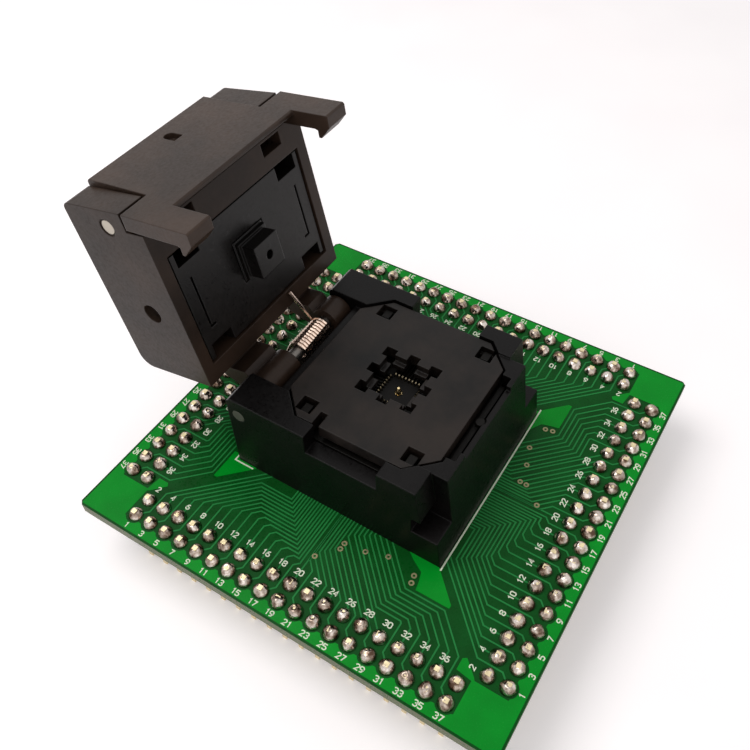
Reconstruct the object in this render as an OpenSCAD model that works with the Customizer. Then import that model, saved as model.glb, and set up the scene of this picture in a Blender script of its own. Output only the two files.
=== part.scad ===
// Clamshell test socket for a small leadless package, soldered to an adapter board.
// Origin: middle of the pin field, on the plane where the pin headers seat. +Z is up, the hinge is
// at the back (+Y), the latch comes down at the front (-Y). The lid is drawn open.

/* [Board] */
// Distance from the outer pin row to the edge of the board
board_margin = 2.56; // [1.6:0.02:8]
// Thickness of the board
board_t = 1.6; // [0.8:0.1:2.4]
// Small break on the board's corners
board_corner = 0.5; // [0.2:0.1:1.5]

/* [Pin field] */
// Pitch of the header pins
pin_pitch = 2.54; // [2.5:0.01:2.6]
// Pins along each row
pin_columns = 19; // [9:2:19]
// Distance from the middle of the board to the inner pin row
inner_row = 25.4; // [25:0.1:27]
// Side of the square header pins
pin_w = 0.64; // [0.5:0.02:0.7]
// Length of pin below the header body
pin_drop = 6; // [3:0.5:11]
// Length of pin above the board
pin_rise = 1; // [0.8:0.1:1.6]
// Height of the header body
header_h = 2.54; // [2:0.1:8.5]
// Depth of the notches between neighbouring pins in a header body
header_notch = 0.45; // [0.2:0.05:0.8]
// Diameter of the plated holes in the board
board_hole_d = 1.02; // [1:0.02:1.3]
// Radius of a solder joint on the board
solder_r = 0.92; // [0.75:0.01:1.1]
// Height of a solder joint
solder_h = 0.95; // [0.5:0.05:1.3]

/* [Base housing] */
// Half the width of the base housing
base_half_w = 14; // [13.6:0.1:16]
// Front face of the base housing, at the board
base_front = 14.4; // [14.2:0.1:16]
// Back face of the base housing
base_back = 16.7; // [16.5:0.1:18]
// Height of the corner blocks
base_h = 13.3; // [13.1:0.05:13.35]
// Lean of the front face over the height of the blocks
base_draft = 1.75; // [1.6:0.05:1.9]
// Thickness of the floor under the contact carrier
base_floor = 1.2; // [0.8:0.1:2]
// Half the width of the opening in the floor for the contact tails
tail_opening = 6; // [5.2:0.1:7]
// Height of the finger ledges in the two sides
ledge_h = 10.2; // [9:0.1:12]
// Front end of the finger ledges
ledge_front = 5.3; // [3:0.1:7]
// Back end of the finger ledges
ledge_back = 4.9; // [2:0.1:8]
// Height of the front wall between the corner posts
front_wall_h = 12.3; // [11:0.1:12.8]
// Half the width of the low stretch of the front wall
front_wall_half = 6; // [3:0.1:7.4]
// Height of the posts beside the latch pockets
post_h = 13; // [12.4:0.1:13.2]

/* [Latch pockets] */
// Inner side of the latch pockets
pocket_in = 10.3; // [9.2:0.1:10.4]
// Height of the foot that the pockets stop at
foot_h = 5; // [3:0.1:5.3]
// Top of a pocket's back wall, behind the front
pocket_back = 10.5; // [10.4:0.05:10.8]
// Front edge of the catch ledge
catch_front = 11.35; // [11.1:0.05:11.4]
// Underside of the catch ledge
catch_h = 7.8; // [7.75:0.05:8.2]
// Back of the notch under the catch ledge
catch_back = 10.1; // [10:0.05:10.25]

/* [Contact carrier] */
// Top face of the contact carrier
carrier_top = 10.3; // [9.8:0.1:10.4]
// Running gap between the carrier and the base housing
carrier_gap = 0.1; // [0.05:0.01:0.2]
// Height of the rib in front of the nest plate
rib_top = 11.3; // [11:0.1:12.9]
// Thickness of that rib
rib_t = 0.75; // [0.4:0.05:0.8]
// Half the length of that rib
rib_half = 7; // [4:0.1:7.2]
// Slot between the rib and the front wall
rib_gap = 0.45; // [0.3:0.05:0.6]
// Depth of the flange under the rib, below the carrier's top
rib_root = 1.3; // [0.8:0.1:2]
// Radius of the round tab in the middle of the rib
rib_tab_r = 0.6; // [0.4:0.05:0.65]
// Height of the round tab
rib_tab_top = 12; // [11.5:0.1:12.2]

/* [Contacts] */
// Contacts on each side
contact_count = 8; // [4:1:8]
// Pitch of the contacts
contact_pitch = 0.5; // [0.4:0.01:0.5]
// Distance from the middle to the contact tips
contact_reach = 2.3; // [2.25:0.05:2.4]
// Height of the contact tips
contact_tip = 10.8; // [10.5:0.05:10.9]
// Thickness of a contact blade
contact_t = 0.2; // [0.12:0.01:0.22]
// Distance from the middle to the outer face of the contact stems
contact_stem = 4.9; // [4.6:0.1:5.1]
// Width of a contact stem
contact_stem_w = 0.4; // [0.3:0.05:0.5]
// Width of a contact's upright finger
contact_finger_w = 0.3; // [0.2:0.02:0.36]
// Height of the arm's shoulder below the contact tip
contact_arm_drop = 2.2; // [1.8:0.1:2.6]

/* [Ground probe] */
// Radius of the probe's plunger
probe_r = 0.32; // [0.25:0.01:0.36]
// Radius of the probe's barrel
probe_barrel_r = 0.5; // [0.48:0.02:0.7]
// Height of the plunger's tip
probe_tip = 11.2; // [10.9:0.05:11.4]
// Depth of the barrel's mouth below the carrier's top
probe_sink = 0.3; // [0:0.05:0.6]

/* [Nest plate] */
// Half the width of the nest plate
nest_half_w = 11.5; // [11:0.1:11.6]
// Front edge of the nest plate
nest_front = 10.6; // [10.4:0.1:10.8]
// Back edge of the nest plate
nest_back = 11; // [10.6:0.1:11.1]
// Clipped corners of the nest plate
nest_clip = 3.4; // [3.2:0.1:4]
// Top face of the nest plate
nest_top = 13; // [12.6:0.05:13.1]
// Thickness of the nest plate
nest_t = 1.75; // [1.4:0.05:1.8]
// Gap round the nest plate
nest_gap = 0.3; // [0.2:0.05:0.4]
// Half the width of the package opening
package_half = 2.6; // [2.5:0.05:2.7]
// Width of the lead-in round the top of the package opening
package_lead = 0.65; // [0.2:0.05:0.8]
// Depth of the lead-in
package_lead_h = 1; // [0.6:0.05:1.2]
// Half the width of a corner relief of the package opening
package_relief = 0.8; // [0.5:0.05:0.8]
// Distance from the middle to the centre of a corner relief
package_relief_at = 3.3; // [3.2:0.05:3.5]
// Half the width of the tweezer notches in the middle of the opening's sides
package_notch = 0.75; // [0.5:0.05:1]
// Distance from the middle to the far end of the tweezer notches
package_notch_end = 4.4; // [4.2:0.1:4.8]
// Distance from the middle to the hook slots, along X
hook_x = 9.4; // [8.6:0.1:9.6]
// Distance from the middle to the hook slots, along Y
hook_y = 7.5; // [6:0.1:7.6]
// Half the width of a hook slot
hook_slot = 1.1; // [0.9:0.05:1.2]
// Reach of a hook over the nest plate's shoulder
hook_reach = 0.32; // [0.2:0.02:0.36]
// Depth of a hook's top below the nest plate's face
hook_sink = 0.5; // [0.3:0.05:0.6]
// Length of the index notch in the nest plate's left edge
index_l = 2.1; // [1:0.1:2.2]
// Width of the index notch
index_w = 1; // [0.6:0.1:1.4]
// Distance from the middle to the index notch, along Y
index_y = 4.9; // [3:0.1:5.6]
// Distance from the middle to the nest springs, along X
nest_spring_x = 8; // [7.4:0.1:8]
// Distance from the middle to the nest springs, along Y
nest_spring_y = 3.2; // [2:0.1:3.2]

/* [Hinge] */
// Hinge axis behind the middle
hinge_y = 15.1; // [15:0.05:15.2]
// Hinge axis above the board
hinge_z = 10.6; // [10.55:0.05:10.7]
// Radius of the hinge pin
hinge_pin_r = 0.9; // [0.7:0.05:0.95]
// Radius of the lid's knuckles
knuckle_r = 2.1; // [1.9:0.05:2.2]
// Running clearance of the knuckles on the pin
hinge_clear = 0.05; // [0.02:0.01:0.1]
// Half the distance between the base's hinge lugs
lug_in = 9; // [8.9:0.1:10]
// Side gap between a lug and a knuckle
lug_gap = 0.2; // [0.1:0.05:0.4]
// Inner end of the left knuckle
left_knuckle_in = 3.2; // [3.1:0.1:5]
// Inner end of the right knuckle
right_knuckle_in = 5.4; // [5.3:0.1:7]
// Floor of the recess under the knuckles
recess_floor = 8.2; // [7:0.1:8.3]
// Front of the recess
recess_front = 12.4; // [12:0.05:12.7]
// Height of the wall between the nest and the recess
back_wall_h = 12; // [11:0.1:12.3]
// Opening angle of the lid
open_angle = 102; // [95:1:103]

/* [Torsion spring] */
// Diameter of the spring wire
torsion_wire = 0.5; // [0.35:0.05:0.5]
// Mean radius of the coil
torsion_r = 1.3; // [1.25:0.05:1.4]
// Left end of the coil
torsion_left = -1.2; // [-1.6:0.1:0]
// Right end of the coil
torsion_right = 5; // [4.8:0.1:5.1]
// Whole turns between the two legs
torsion_turns = 11; // [6:1:11]

/* [Lid] */
// How far the lid's sides stand in from the base's
lid_inset = 0; // [0:0.05:0.3]
// End of the lid nearest the hinge, from the hinge axis
lid_root = 4.2; // [4:0.1:4.8]
// Free end of the lid, from the hinge axis
lid_end = 28.9; // [28.7:0.1:29]
// Underside of the lid above the hinge axis when closed
lid_under = 2.8; // [2.8:0.05:3.2]
// Outer face of the lid above the hinge axis when closed
lid_outer = 14.8; // [14.6:0.1:17]
// Thickness of the lid's side walls
lid_side_t = 1.7; // [1.4:0.1:2]
// Thickness of the lid's roof
lid_roof_t = 1.6; // [1.2:0.1:3]
// Thickness of the lid's wall at the hinge
lid_root_t = 2.4; // [1.4:0.1:2.6]
// Start of the cross bar at the free end
bar_start = 22.6; // [22.2:0.1:22.8]
// End of the cross bar
bar_end = 26.55; // [26.4:0.05:26.6]
// Thickness of the cross bar
bar_t = 1.7; // [1.4:0.1:1.9]
// Inner side of the two windows in the bar
bar_window_in = 6.3; // [4:0.1:7]
// Outer side of the two windows in the bar
bar_window_out = 9.85; // [8.5:0.05:10]
// Start of the windows along the bar
bar_window_start = 24.5; // [24.4:0.05:25]
// Strip of bar left at the windows' far edge
bar_window_strip = 0.35; // [0.3:0.05:0.6]
// Underside of the end blocks that hold the latch pin
block_under = 5.4; // [5.35:0.05:6]
// Radius of the rounded edge at the hinge end
lid_round = 1.8; // [0.5:0.1:3]
// Radius of the rounded edge at the free end
lid_end_round = 0.9; // [0.3:0.1:1.5]

/* [Pressure plate] */
// Gap round the plate
press_gap = 0.3; // [0.2:0.05:0.4]
// Face of the pressure plate above the hinge axis when closed
press_face = 3; // [2.9:0.05:3.9]
// Thickness of the pressure plate
press_t = 3.2; // [2:0.1:3.2]
// Travel of the pressure plate into the lid
press_travel = 0.8; // [0.4:0.05:0.8]
// Cross pin of the pressure plate, from the hinge axis along the lid
cross_u = 14.6; // [14:0.1:15.6]
// Cross pin above the hinge axis when closed
cross_v = 7.7; // [7.7:0.05:8.2]
// Radius of the cross pin
cross_r = 1; // [0.8:0.05:1]
// Radius of the open holes in the lid's sides over the cross pin
cross_hole_r = 1.3; // [1.2:0.05:1.6]
// Depth of the open holes in the lid's sides, down to the cross pin's ends
cross_seat = 1.1; // [0.9:0.1:1.3]
// Ears of the plate round the cross pin, from the middle
press_ear_x = 6; // [4:0.1:7]
// Thickness of an ear
press_ear_t = 2; // [1:0.1:2.4]
// Width of the notches in the plate's two ends
press_notch_w = 3.7; // [1:0.1:4]
// Depth of the notches in the plate's two ends
press_notch_l = 1.9; // [1:0.1:3]
// Strip of plate left beside the notches
press_notch_edge = 0.7; // [0.6:0.1:2]
// Width of the two slits in the plate
slit_w = 0.3; // [0.2:0.05:0.5]
// Distance from the middle to the slits
slit_x = 10.2; // [8:0.1:10.6]
// Start of the slits along the lid
slit_start = 10.8; // [9:0.1:12]
// End of the slits along the lid
slit_end = 18.4; // [16:0.1:20]
// Depth of the slits
slit_h = 0.5; // [0.2:0.05:1]

/* [Pusher] */
// Half the width of the pusher's body in its window
pusher_half = 2.8; // [2.7:0.05:3.4]
// Gap round the pusher
pusher_gap = 0.15; // [0.1:0.01:0.2]
// Half the width of the pusher's flange
pusher_flange = 2.6; // [2.4:0.05:2.8]
// Height of the flange off the plate
pusher_flange_h = 0.7; // [0.5:0.05:1.2]
// Half the width of the pusher's nose
pusher_nose = 2.2; // [1.8:0.05:2.4]
// Underside of the nose above the hinge axis when closed
pusher_tip = 0.3; // [0.3:0.05:1]
// Radius of the hole in the nose
pusher_hole_r = 0.6; // [0.5:0.05:0.9]
// Width of the step that keeps the pusher in the plate
pusher_step_w = 0.7; // [0.4:0.05:1]
// Thickness of the pusher's collar behind that step
pusher_collar = 0.5; // [0.3:0.05:0.8]

/* [Latch] */
// Latch pin from the hinge axis along the lid
latch_u = 26.65; // [26.6:0.05:26.8]
// Latch pin above the hinge axis when closed
latch_v = 8.42; // [8.3:0.02:8.6]
// Radius of the latch pin
latch_pin_r = 0.9; // [0.7:0.05:0.95]
// Radius of the latch's hub round the pin
latch_hub_r = 1.85; // [1.5:0.05:1.9]
// Outer face of the latch, upright
latch_face = 29.25; // [29.2:0.05:29.6]
// Thickness of the latch plate
latch_t = 1.95; // [1.8:0.05:1.95]
// Lean of the latch at rest, hooks inward
latch_lean = 3.5; // [3:0.1:3.8]
// Half the width of the upper plate of the latch
latch_plate_half = 10.1; // [9.4:0.1:10.2]
// How far the latch's arms stand out past the lid's sides
latch_overhang = 0.2; // [0:0.05:0.4]
// Inner side of the arms
latch_arm_in = 10.6; // [10.2:0.1:11.5]
// Top of the upper plate
latch_top = 14.5; // [13.8:0.1:14.6]
// Top of the full-width bar of the latch
latch_bar_top = 4.9; // [4.5:0.05:4.9]
// Underside of the bar
latch_bar_under = 2.95; // [2.9:0.05:3.2]
// Lower edge of the lip in front of the base
latch_lip_under = 0.4; // [0.4:0.05:1.2]
// Thickness of the lip
latch_lip_t = 0.6; // [0.4:0.05:0.62]
// End of the arms below the hinge axis
latch_arm_end = -4.75; // [-4.9:0.05:-4.4]
// Catch face of the hooks below the hinge axis
latch_catch = -2.95; // [-3.1:0.05:-2.9]
// Nose of the hooks along the lid
latch_nose = 26.2; // [26.1:0.05:26.5]
// Middle of the arched slot in the latch's face, off centre
latch_slot_x = 0.75; // [-2:0.05:2]
// Width of the arched slot
latch_slot_w = 1.5; // [0.8:0.1:3]
// Start of the arched slot above the hinge axis when closed
latch_slot_v = 10; // [9:0.1:11]
// Length of the arched slot up to its arch
latch_slot_l = 1.5; // [0.8:0.1:2.4]
// Depth of the arched slot
latch_slot_h = 0.8; // [0.4:0.1:1.2]

/* [Coil springs] */
// Diameter of the wire of the small coil springs
coil_wire = 0.3; // [0.2:0.02:0.32]
// Mean radius of the nest and latch springs
coil_small_r = 0.8; // [0.6:0.05:0.85]
// Mean radius of the pressure springs
coil_large_r = 1.4; // [1:0.05:1.5]
// Depth of the seats of the nest springs
nest_spring_seat = 3; // [2:0.1:5]
// Depth of the seats of the latch springs
latch_spring_seat = 1; // [0.6:0.1:1.4]
// Distance from the middle to the latch springs
latch_spring_x = 5; // [3:0.1:8]
// Latch springs above the hinge axis when closed
latch_spring_v = 12.2; // [11.8:0.1:12.6]
// Distance from the middle to the pressure springs
press_spring_x = 5.6; // [5.3:0.1:5.8]
// Distance from the plate's ends to the pressure springs
press_spring_in = 2.4; // [2:0.1:2.6]
// Side clearance of a coil spring in its seat
coil_seat_gap = 0.2; // [0.1:0.05:0.3]

/* [Hidden] */
$fn = 48;

// A hair more than the cut needs, so that no face is left behind
over = 1;
// Gap of pieces pressed or laid into one another
fit = 0.01;
// Half the slack at the ends of a header body, so that two headers meet at no corner
header_slack = 0.05;
// Clearance of a contact blade in its slot
contact_slot_gap = 0.03;
// Room at the ends of a contact's slot
contact_slot_end = 0.3;
// Side clearance of a nest hook in its slot
hook_gap = 0.08;
// Gap between the torsion spring's upper leg and the lid
leg_gap = 0.05;
// How far its lower leg runs below the recess's floor, behind the base
leg_rest = 0.4;
// Sideways run of its legs
leg_slant = 1.7;
// Angle round the hinge at which its lower leg leaves the coil
leg_angle = 14;
// Small edge break of a moulded piece
edge = 0.3;
// Countersink round the latch pin's ends
sink_w = 0.22;
sink_h = 0.15;

board_top = header_h + board_t;
outer_row = inner_row + pin_pitch;
board_half = outer_row + board_margin;
header_mid = inner_row + pin_pitch / 2;
header_len = pin_columns * pin_pitch - 2 * header_slack;
header_w = 2 * pin_pitch - 2 * header_slack;

cavity_half_w = nest_half_w + nest_gap;
cavity_front = nest_front + nest_gap;
cavity_back = nest_back + nest_gap;
carrier_half_w = cavity_half_w - carrier_gap;
carrier_front = cavity_front - carrier_gap;
carrier_back = cavity_back - carrier_gap;
rib_y = -cavity_front - rib_t / 2;
rib_slot_front = cavity_front + rib_t + rib_gap;
rib_seat_h = carrier_top - rib_root;
rib_slot_half = rib_half + rib_gap;
rib_tab_y = -cavity_front - rib_t;
base_face_top = base_front - base_draft;
nest_under = nest_top - nest_t;

knuckle_out = lug_in - lug_gap;
lid_half_w = base_half_w - lid_inset;
latch_half_w = lid_half_w + latch_overhang;

cavity_u0 = lid_root + lid_root_t;
cavity_u1 = bar_start;
cavity_top = lid_outer - lid_roof_t;
cavity_half = lid_half_w - lid_side_t;
pocket_u = bar_window_start - 0.1;
pocket_half = latch_plate_half + 0.25;
press_u0 = cavity_u0 + press_gap;
press_u1 = cavity_u1 - press_gap;
press_back = press_face + press_t;
press_half_w = cavity_half - press_gap;
cross_end = lid_half_w - cross_seat;
notch_x = press_half_w - press_notch_edge;
pusher_u = hinge_y;
pusher_step = press_face + press_t / 2;
pusher_back = pusher_step + pusher_collar;

// ---- helpers ----

// Points on an arc, in order
function arc_points(cx, cy, r, a0, a1, steps) =
  [for (i = [0:steps]) let (a = a0 + (a1 - a0) * i / steps) [cx + r * cos(a), cy + r * sin(a)]];

// Extrudes a side profile, drawn as (y, z), from x0 to x1
module across(x0, x1) {
  translate([x0, 0, 0])
    rotate([90, 0, 90])
      linear_extrude(x1 - x0)
        children();
}

// A round bar along X
module round_x(r, x0, x1, y, z) {
  translate([x0, y, z])
    rotate([0, 90, 0])
      cylinder(r = r, h = x1 - x0);
}

// A block from its two corners
module block(low, high) {
  translate(low)
    cube(high - low);
}

// Repeats its children mirrored left to right
module both_sides() {
  for (side = [0, 1])
    mirror([side, 0, 0])
      children();
}

// Lifts the socket's pieces onto the board
module on_board() {
  translate([0, 0, board_top])
    children();
}

// Carries pieces drawn with the lid closed, hinge axis on the X axis, into the open lid
module on_lid() {
  translate([0, hinge_y, board_top + hinge_z])
    rotate([-open_angle, 0, 0])
      children();
}

// Leans the latch about its pin
module on_latch() {
  on_lid()
    translate([0, -latch_u, latch_v])
      rotate([latch_lean, 0, 0])
        translate([0, latch_u, -latch_v])
          children();
}

// A wire swept along points, rings square to the path
function unit(v) = v / norm(v);
function path_way(path, i) =
  unit(path[min(i + 1, len(path) - 1)] - path[max(i - 1, 0)]);

module wire(path, r, axis, sides = 6) {
  n = len(path);
  points = [for (i = [0:n - 1])
    let (way = path_way(path, i), a = unit(cross(way, axis)), b = cross(way, a))
    for (j = [0:sides - 1])
      path[i] + r * cos(360 * j / sides) * a + r * sin(360 * j / sides) * b];
  faces = concat(
    [[for (j = [0:sides - 1]) j]],
    [for (i = [0:n - 2], j = [0:sides - 1])
      let (k = (j + 1) % sides, a = i * sides, b = a + sides)
      each [[a + j, b + j, b + k], [a + j, b + k, a + k]]],
    [[for (j = [0:sides - 1]) n * sides - 1 - j]]);
  polyhedron(points = points, faces = faces, convexity = 10);
}

// A compression spring standing on the XY plane
module coil(mean_r, length, turns) {
  steps = 10;
  rise = length - coil_wire;
  path = [for (i = [0:turns * steps])
    [mean_r * cos(360 * i / steps), mean_r * sin(360 * i / steps),
      coil_wire / 2 + rise * i / (turns * steps)]];
  wire(path, coil_wire / 2, [0, 0, 1], 4);
}

// ---- board and pin field ----

// Places its children once for every pin of the front side; turned for the other sides
module at_pins() {
  for (column = [0:pin_columns - 1], row = [inner_row, outer_row])
    translate([(column - (pin_columns - 1) / 2) * pin_pitch, -row, 0])
      children();
}

module circuit_board() {
  color([0.05, 0.5, 0.2])
    translate([0, 0, header_h])
      difference() {
        linear_extrude(board_t)
          polygon([
            [-board_half + board_corner, -board_half], [board_half - board_corner, -board_half],
            [board_half, -board_half + board_corner], [board_half, board_half - board_corner],
            [board_half - board_corner, board_half], [-board_half + board_corner, board_half],
            [-board_half, board_half - board_corner], [-board_half, -board_half + board_corner]
          ]);
        for (turn = [0:90:270])
          rotate(turn)
            at_pins()
              translate([0, 0, -over])
                cylinder(d = board_hole_d, h = board_t + 2 * over, $fn = 16);
      }
}

// One double-row header body, notched between its pins, with a square hole for each
module header_body() {
  side = [for (i = [0:pin_columns - 1])
    let (x = (i - (pin_columns - 1) / 2) * pin_pitch, h = pin_pitch / 2)
    each [
      [i == 0 ? x - h + header_slack : x - h + header_notch, header_w / 2],
      [i == pin_columns - 1 ? x + h - header_slack : x + h - header_notch, header_w / 2],
      [i == pin_columns - 1 ? x + h - header_slack : x + h, header_w / 2 - header_notch]
    ]];
  far = [for (i = [len(side) - 1:-1:0]) [side[i][0], -side[i][1]]];
  color([0.1, 0.1, 0.1])
    difference() {
      translate([0, -header_mid, 0])
        linear_extrude(header_h)
          polygon(concat(side, far));
      at_pins()
        translate([-pin_w / 2 - fit, -pin_w / 2 - fit, -over])
          cube([pin_w + 2 * fit, pin_w + 2 * fit, header_h + 2 * over]);
    }
}

module header_pins() {
  color([0.8, 0.7, 0.4])
    at_pins()
      translate([-pin_w / 2, -pin_w / 2, -pin_drop])
        cube([pin_w, pin_w, pin_drop + board_top + pin_rise]);
}

// Domed joints, each round its own pin
module solder_joints() {
  waist = solder_r * 0.7;
  rim = solder_r * 0.15;
  color([0.75, 0.74, 0.7])
    at_pins()
      translate([0, 0, board_top])
        difference() {
          rotate_extrude($fn = 20)
            polygon([[0, 0], [solder_r, 0], [solder_r, rim], [waist, solder_h * 0.6],
              [waist * 0.6, solder_h], [0, solder_h]]);
          translate([-pin_w / 2 - fit, -pin_w / 2 - fit, -over])
            cube([pin_w + 2 * fit, pin_w + 2 * fit, solder_h + 2 * over]);
        }
}

module header_front() header_body();
module header_right() rotate(90) header_body();
module header_back() rotate(180) header_body();
module header_left() rotate(270) header_body();
module pins_front() header_pins();
module pins_right() rotate(90) header_pins();
module pins_back() rotate(180) header_pins();
module pins_left() rotate(270) header_pins();
module solder_front() solder_joints();
module solder_right() rotate(90) solder_joints();
module solder_back() rotate(180) solder_joints();
module solder_left() rotate(270) solder_joints();

// ---- base housing ----

// The nest plate's outline, grown by a gap
module nest_outline(grow) {
  w = nest_half_w + grow;
  f = nest_front + grow;
  b = nest_back + grow;
  clip = nest_clip + grow * (2 - sqrt(2));
  polygon([[-w + clip, -f], [w - clip, -f], [w, -f + clip], [w, b - clip],
    [w - clip, b], [-w + clip, b], [-w, b - clip], [-w, -f + clip]]);
}

module latch_pocket() {
  across(pocket_in, base_half_w + over)
    polygon([[-base_front - over, foot_h], [-base_front - over, base_h + over],
      [-pocket_back, base_h + over], [-pocket_back, base_h], [-catch_front, catch_h],
      [-catch_back, catch_h], [-catch_back, foot_h]]);
}

module base_housing() {
  color([0.16, 0.15, 0.15])
    on_board()
      difference() {
        across(-base_half_w, base_half_w)
          polygon([[-base_front, 0], [base_back, 0], [base_back, base_h - 0.5],
            [base_back - 0.5, base_h], [-base_face_top, base_h]]);
        // room for the carrier and the nest plate
        translate([0, 0, base_floor])
          linear_extrude(base_h)
            nest_outline(nest_gap);
        // opening for the contact tails
        block([-tail_opening, -tail_opening, -over], [tail_opening, tail_opening, base_h]);
        // slot for the carrier's rib
        block([-rib_slot_half, -rib_slot_front, rib_seat_h], [rib_slot_half, 0, base_h + over]);
        translate([0, rib_tab_y, rib_seat_h])
          cylinder(r = rib_tab_r + carrier_gap, h = base_h, $fn = 32);
        // low front wall and the posts beside it
        block([-front_wall_half, -base_front, front_wall_h], [front_wall_half, 0, base_h + over]);
        block([-pocket_in, -base_front, post_h], [pocket_in, 0, base_h + over]);
        // recess for the knuckles, and the wall in front of it
        block([-lug_in, recess_front, recess_floor], [lug_in, base_back + over, base_h + over]);
        block([-lug_in, 0, back_wall_h], [lug_in, base_back + over, base_h + over]);
        both_sides() {
          latch_pocket();
          // finger ledges in the sides
          block([nest_half_w, -ledge_front, ledge_h], [base_half_w + over, ledge_back, base_h + over]);
        }
        round_x(hinge_pin_r + fit, -base_half_w - over, base_half_w + over, hinge_y, hinge_z);
      }
}

// ---- contact carrier, contacts and ground probe ----

// Places its children at every contact of the front side
module at_contacts() {
  for (i = [0:contact_count - 1])
    translate([(i - (contact_count - 1) / 2) * contact_pitch, 0, 0])
      children();
}

// The hook that holds a corner of the nest plate down
module nest_hook() {
  stem = hook_slot * 0.5;
  head = nest_top - hook_sink;
  block([-stem, -stem, carrier_top - over], [stem, stem, head]);
  block([0, -stem, nest_under + nest_t * 0.45], [stem + hook_reach, stem, head]);
}

module contact_carrier() {
  slot = contact_t / 2 + contact_slot_gap;
  color([0.2, 0.19, 0.18])
    on_board()
      difference() {
        union() {
          translate([0, 0, base_floor])
            linear_extrude(carrier_top - base_floor)
              nest_outline(nest_gap - carrier_gap);
          // flange and rib in front of the nest plate
          block([-rib_half, -rib_slot_front + carrier_gap, rib_seat_h], [rib_half, 0, carrier_top]);
          block([-rib_half, rib_y - rib_t / 2, rib_seat_h], [rib_half, rib_y + rib_t / 2, rib_top]);
          translate([0, rib_tab_y, rib_seat_h])
            cylinder(r = rib_tab_r, h = rib_tab_top - rib_seat_h, $fn = 32);
          for (side = [-1, 1], end = [-1, 1])
            translate([side * hook_x, end * hook_y, 0])
              mirror([side < 0 ? 1 : 0, 0, 0])
                nest_hook();
        }
        for (turn = [0:90:270])
          rotate(turn)
            at_contacts()
              block([-slot, -contact_stem - contact_slot_end, 0],
                [slot, -contact_reach + contact_slot_end, carrier_top + over]);
        cylinder(r = probe_barrel_r + fit, h = carrier_top + over);
        for (side = [-1, 1], end = [-1, 1])
          translate([side * nest_spring_x, end * nest_spring_y, carrier_top - nest_spring_seat])
            cylinder(r = coil_small_r + coil_wire / 2 + coil_seat_gap, h = nest_spring_seat + over);
      }
}

// A bent blade: tail on the board, stem in the carrier, arm leaning in to the tip
module contact_blades() {
  stem_in = contact_stem - contact_stem_w;
  shoulder = contact_tip - contact_arm_drop;
  arm = shoulder + contact_stem_w * 1.5;
  half = contact_finger_w / 2;
  color([0.8, 0.7, 0.45])
    on_board()
      at_contacts()
        across(-contact_t / 2, contact_t / 2)
          polygon([[-contact_stem, 0], [-stem_in, 0], [-stem_in, shoulder],
            [-stem_in + contact_stem_w, arm], [-contact_reach + half, arm + half],
            [-contact_reach + half, contact_tip - half], [-contact_reach, contact_tip],
            [-contact_reach - half, contact_tip - half],
            [-contact_reach - half, arm + half + contact_stem_w],
            [-stem_in, arm + contact_stem_w], [-contact_stem, shoulder]]);
}

module contacts_front() contact_blades();
module contacts_right() rotate(90) contact_blades();
module contacts_back() rotate(180) contact_blades();
module contacts_left() rotate(270) contact_blades();

probe_base = 1.4;
probe_mouth = carrier_top - probe_sink;
probe_bore_r = probe_r + 0.05;
probe_point = 0.3;
probe_spring_top = probe_mouth - 1.3;

module probe_barrel() {
  color([0.85, 0.7, 0.35])
    on_board()
      difference() {
        cylinder(r = probe_barrel_r, h = probe_mouth);
        translate([0, 0, probe_base])
          cylinder(r = probe_bore_r, h = probe_mouth);
      }
}

module probe_plunger() {
  color([0.9, 0.75, 0.35])
    on_board() {
      translate([0, 0, probe_spring_top])
        cylinder(r = probe_r, h = probe_tip - probe_point - probe_spring_top);
      translate([0, 0, probe_tip - probe_point])
        cylinder(r1 = probe_r, r2 = probe_r * 0.5, h = probe_point);
    }
}

module probe_spring() {
  wire_r = probe_r * 0.25;
  mean_r = probe_r - wire_r;
  turns = 8;
  steps = 8;
  low = probe_base + wire_r;
  high = probe_spring_top - wire_r;
  path = [for (i = [0:turns * steps])
    [mean_r * cos(360 * i / steps), mean_r * sin(360 * i / steps),
      low + (high - low) * i / (turns * steps)]];
  color([0.7, 0.7, 0.72])
    on_board()
      wire(path, wire_r, [0, 0, 1], 4);
}

// ---- nest plate ----

module nest_plate() {
  shoulder = nest_under + nest_t * 0.4;
  color([0.2, 0.19, 0.18])
    on_board()
      difference() {
        translate([0, 0, nest_under])
          linear_extrude(nest_t)
            nest_outline(0);
        // package opening with its corner reliefs and lead-in
        block([-package_half, -package_half, 0], [package_half, package_half, nest_top + over]);
        for (side = [-1, 1], end = [-1, 1])
          translate([side * package_relief_at, end * package_relief_at, 0])
            block([-package_relief, -package_relief, 0],
              [package_relief, package_relief, nest_top + over]);
        for (turn = [0:90:270])
          rotate(turn) {
            block([-package_notch, -package_notch_end, 0], [package_notch, 0, nest_top + over]);
            across(-package_relief_at, package_relief_at)
              polygon([[0, nest_top - package_lead_h], [-package_half, nest_top - package_lead_h],
                [-package_half - package_lead, nest_top], [-package_half - package_lead, nest_top + over],
                [0, nest_top + over]]);
          }
        // index notch in the left edge
        block([-nest_half_w - over, index_y - index_w / 2, 0],
          [-nest_half_w + index_l, index_y + index_w / 2, nest_top + over]);
        // hook slots, narrow below the shoulder that the hook holds
        for (side = [-1, 1], end = [-1, 1])
          translate([side * hook_x, end * hook_y, 0])
            mirror([side < 0 ? 1 : 0, 0, 0]) {
              block([-hook_slot, -hook_slot, shoulder], [hook_slot, hook_slot, nest_top + over]);
              block([-hook_slot, -hook_slot, 0], [hook_slot * 0.5 + hook_gap, hook_slot, nest_top]);
            }
      }
}

module nest_springs() {
  color([0.7, 0.7, 0.72])
    on_board()
      for (side = [-1, 1], end = [-1, 1])
        translate([side * nest_spring_x, end * nest_spring_y, carrier_top - nest_spring_seat])
          coil(coil_small_r, nest_under - carrier_top + nest_spring_seat, 5);
}

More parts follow.
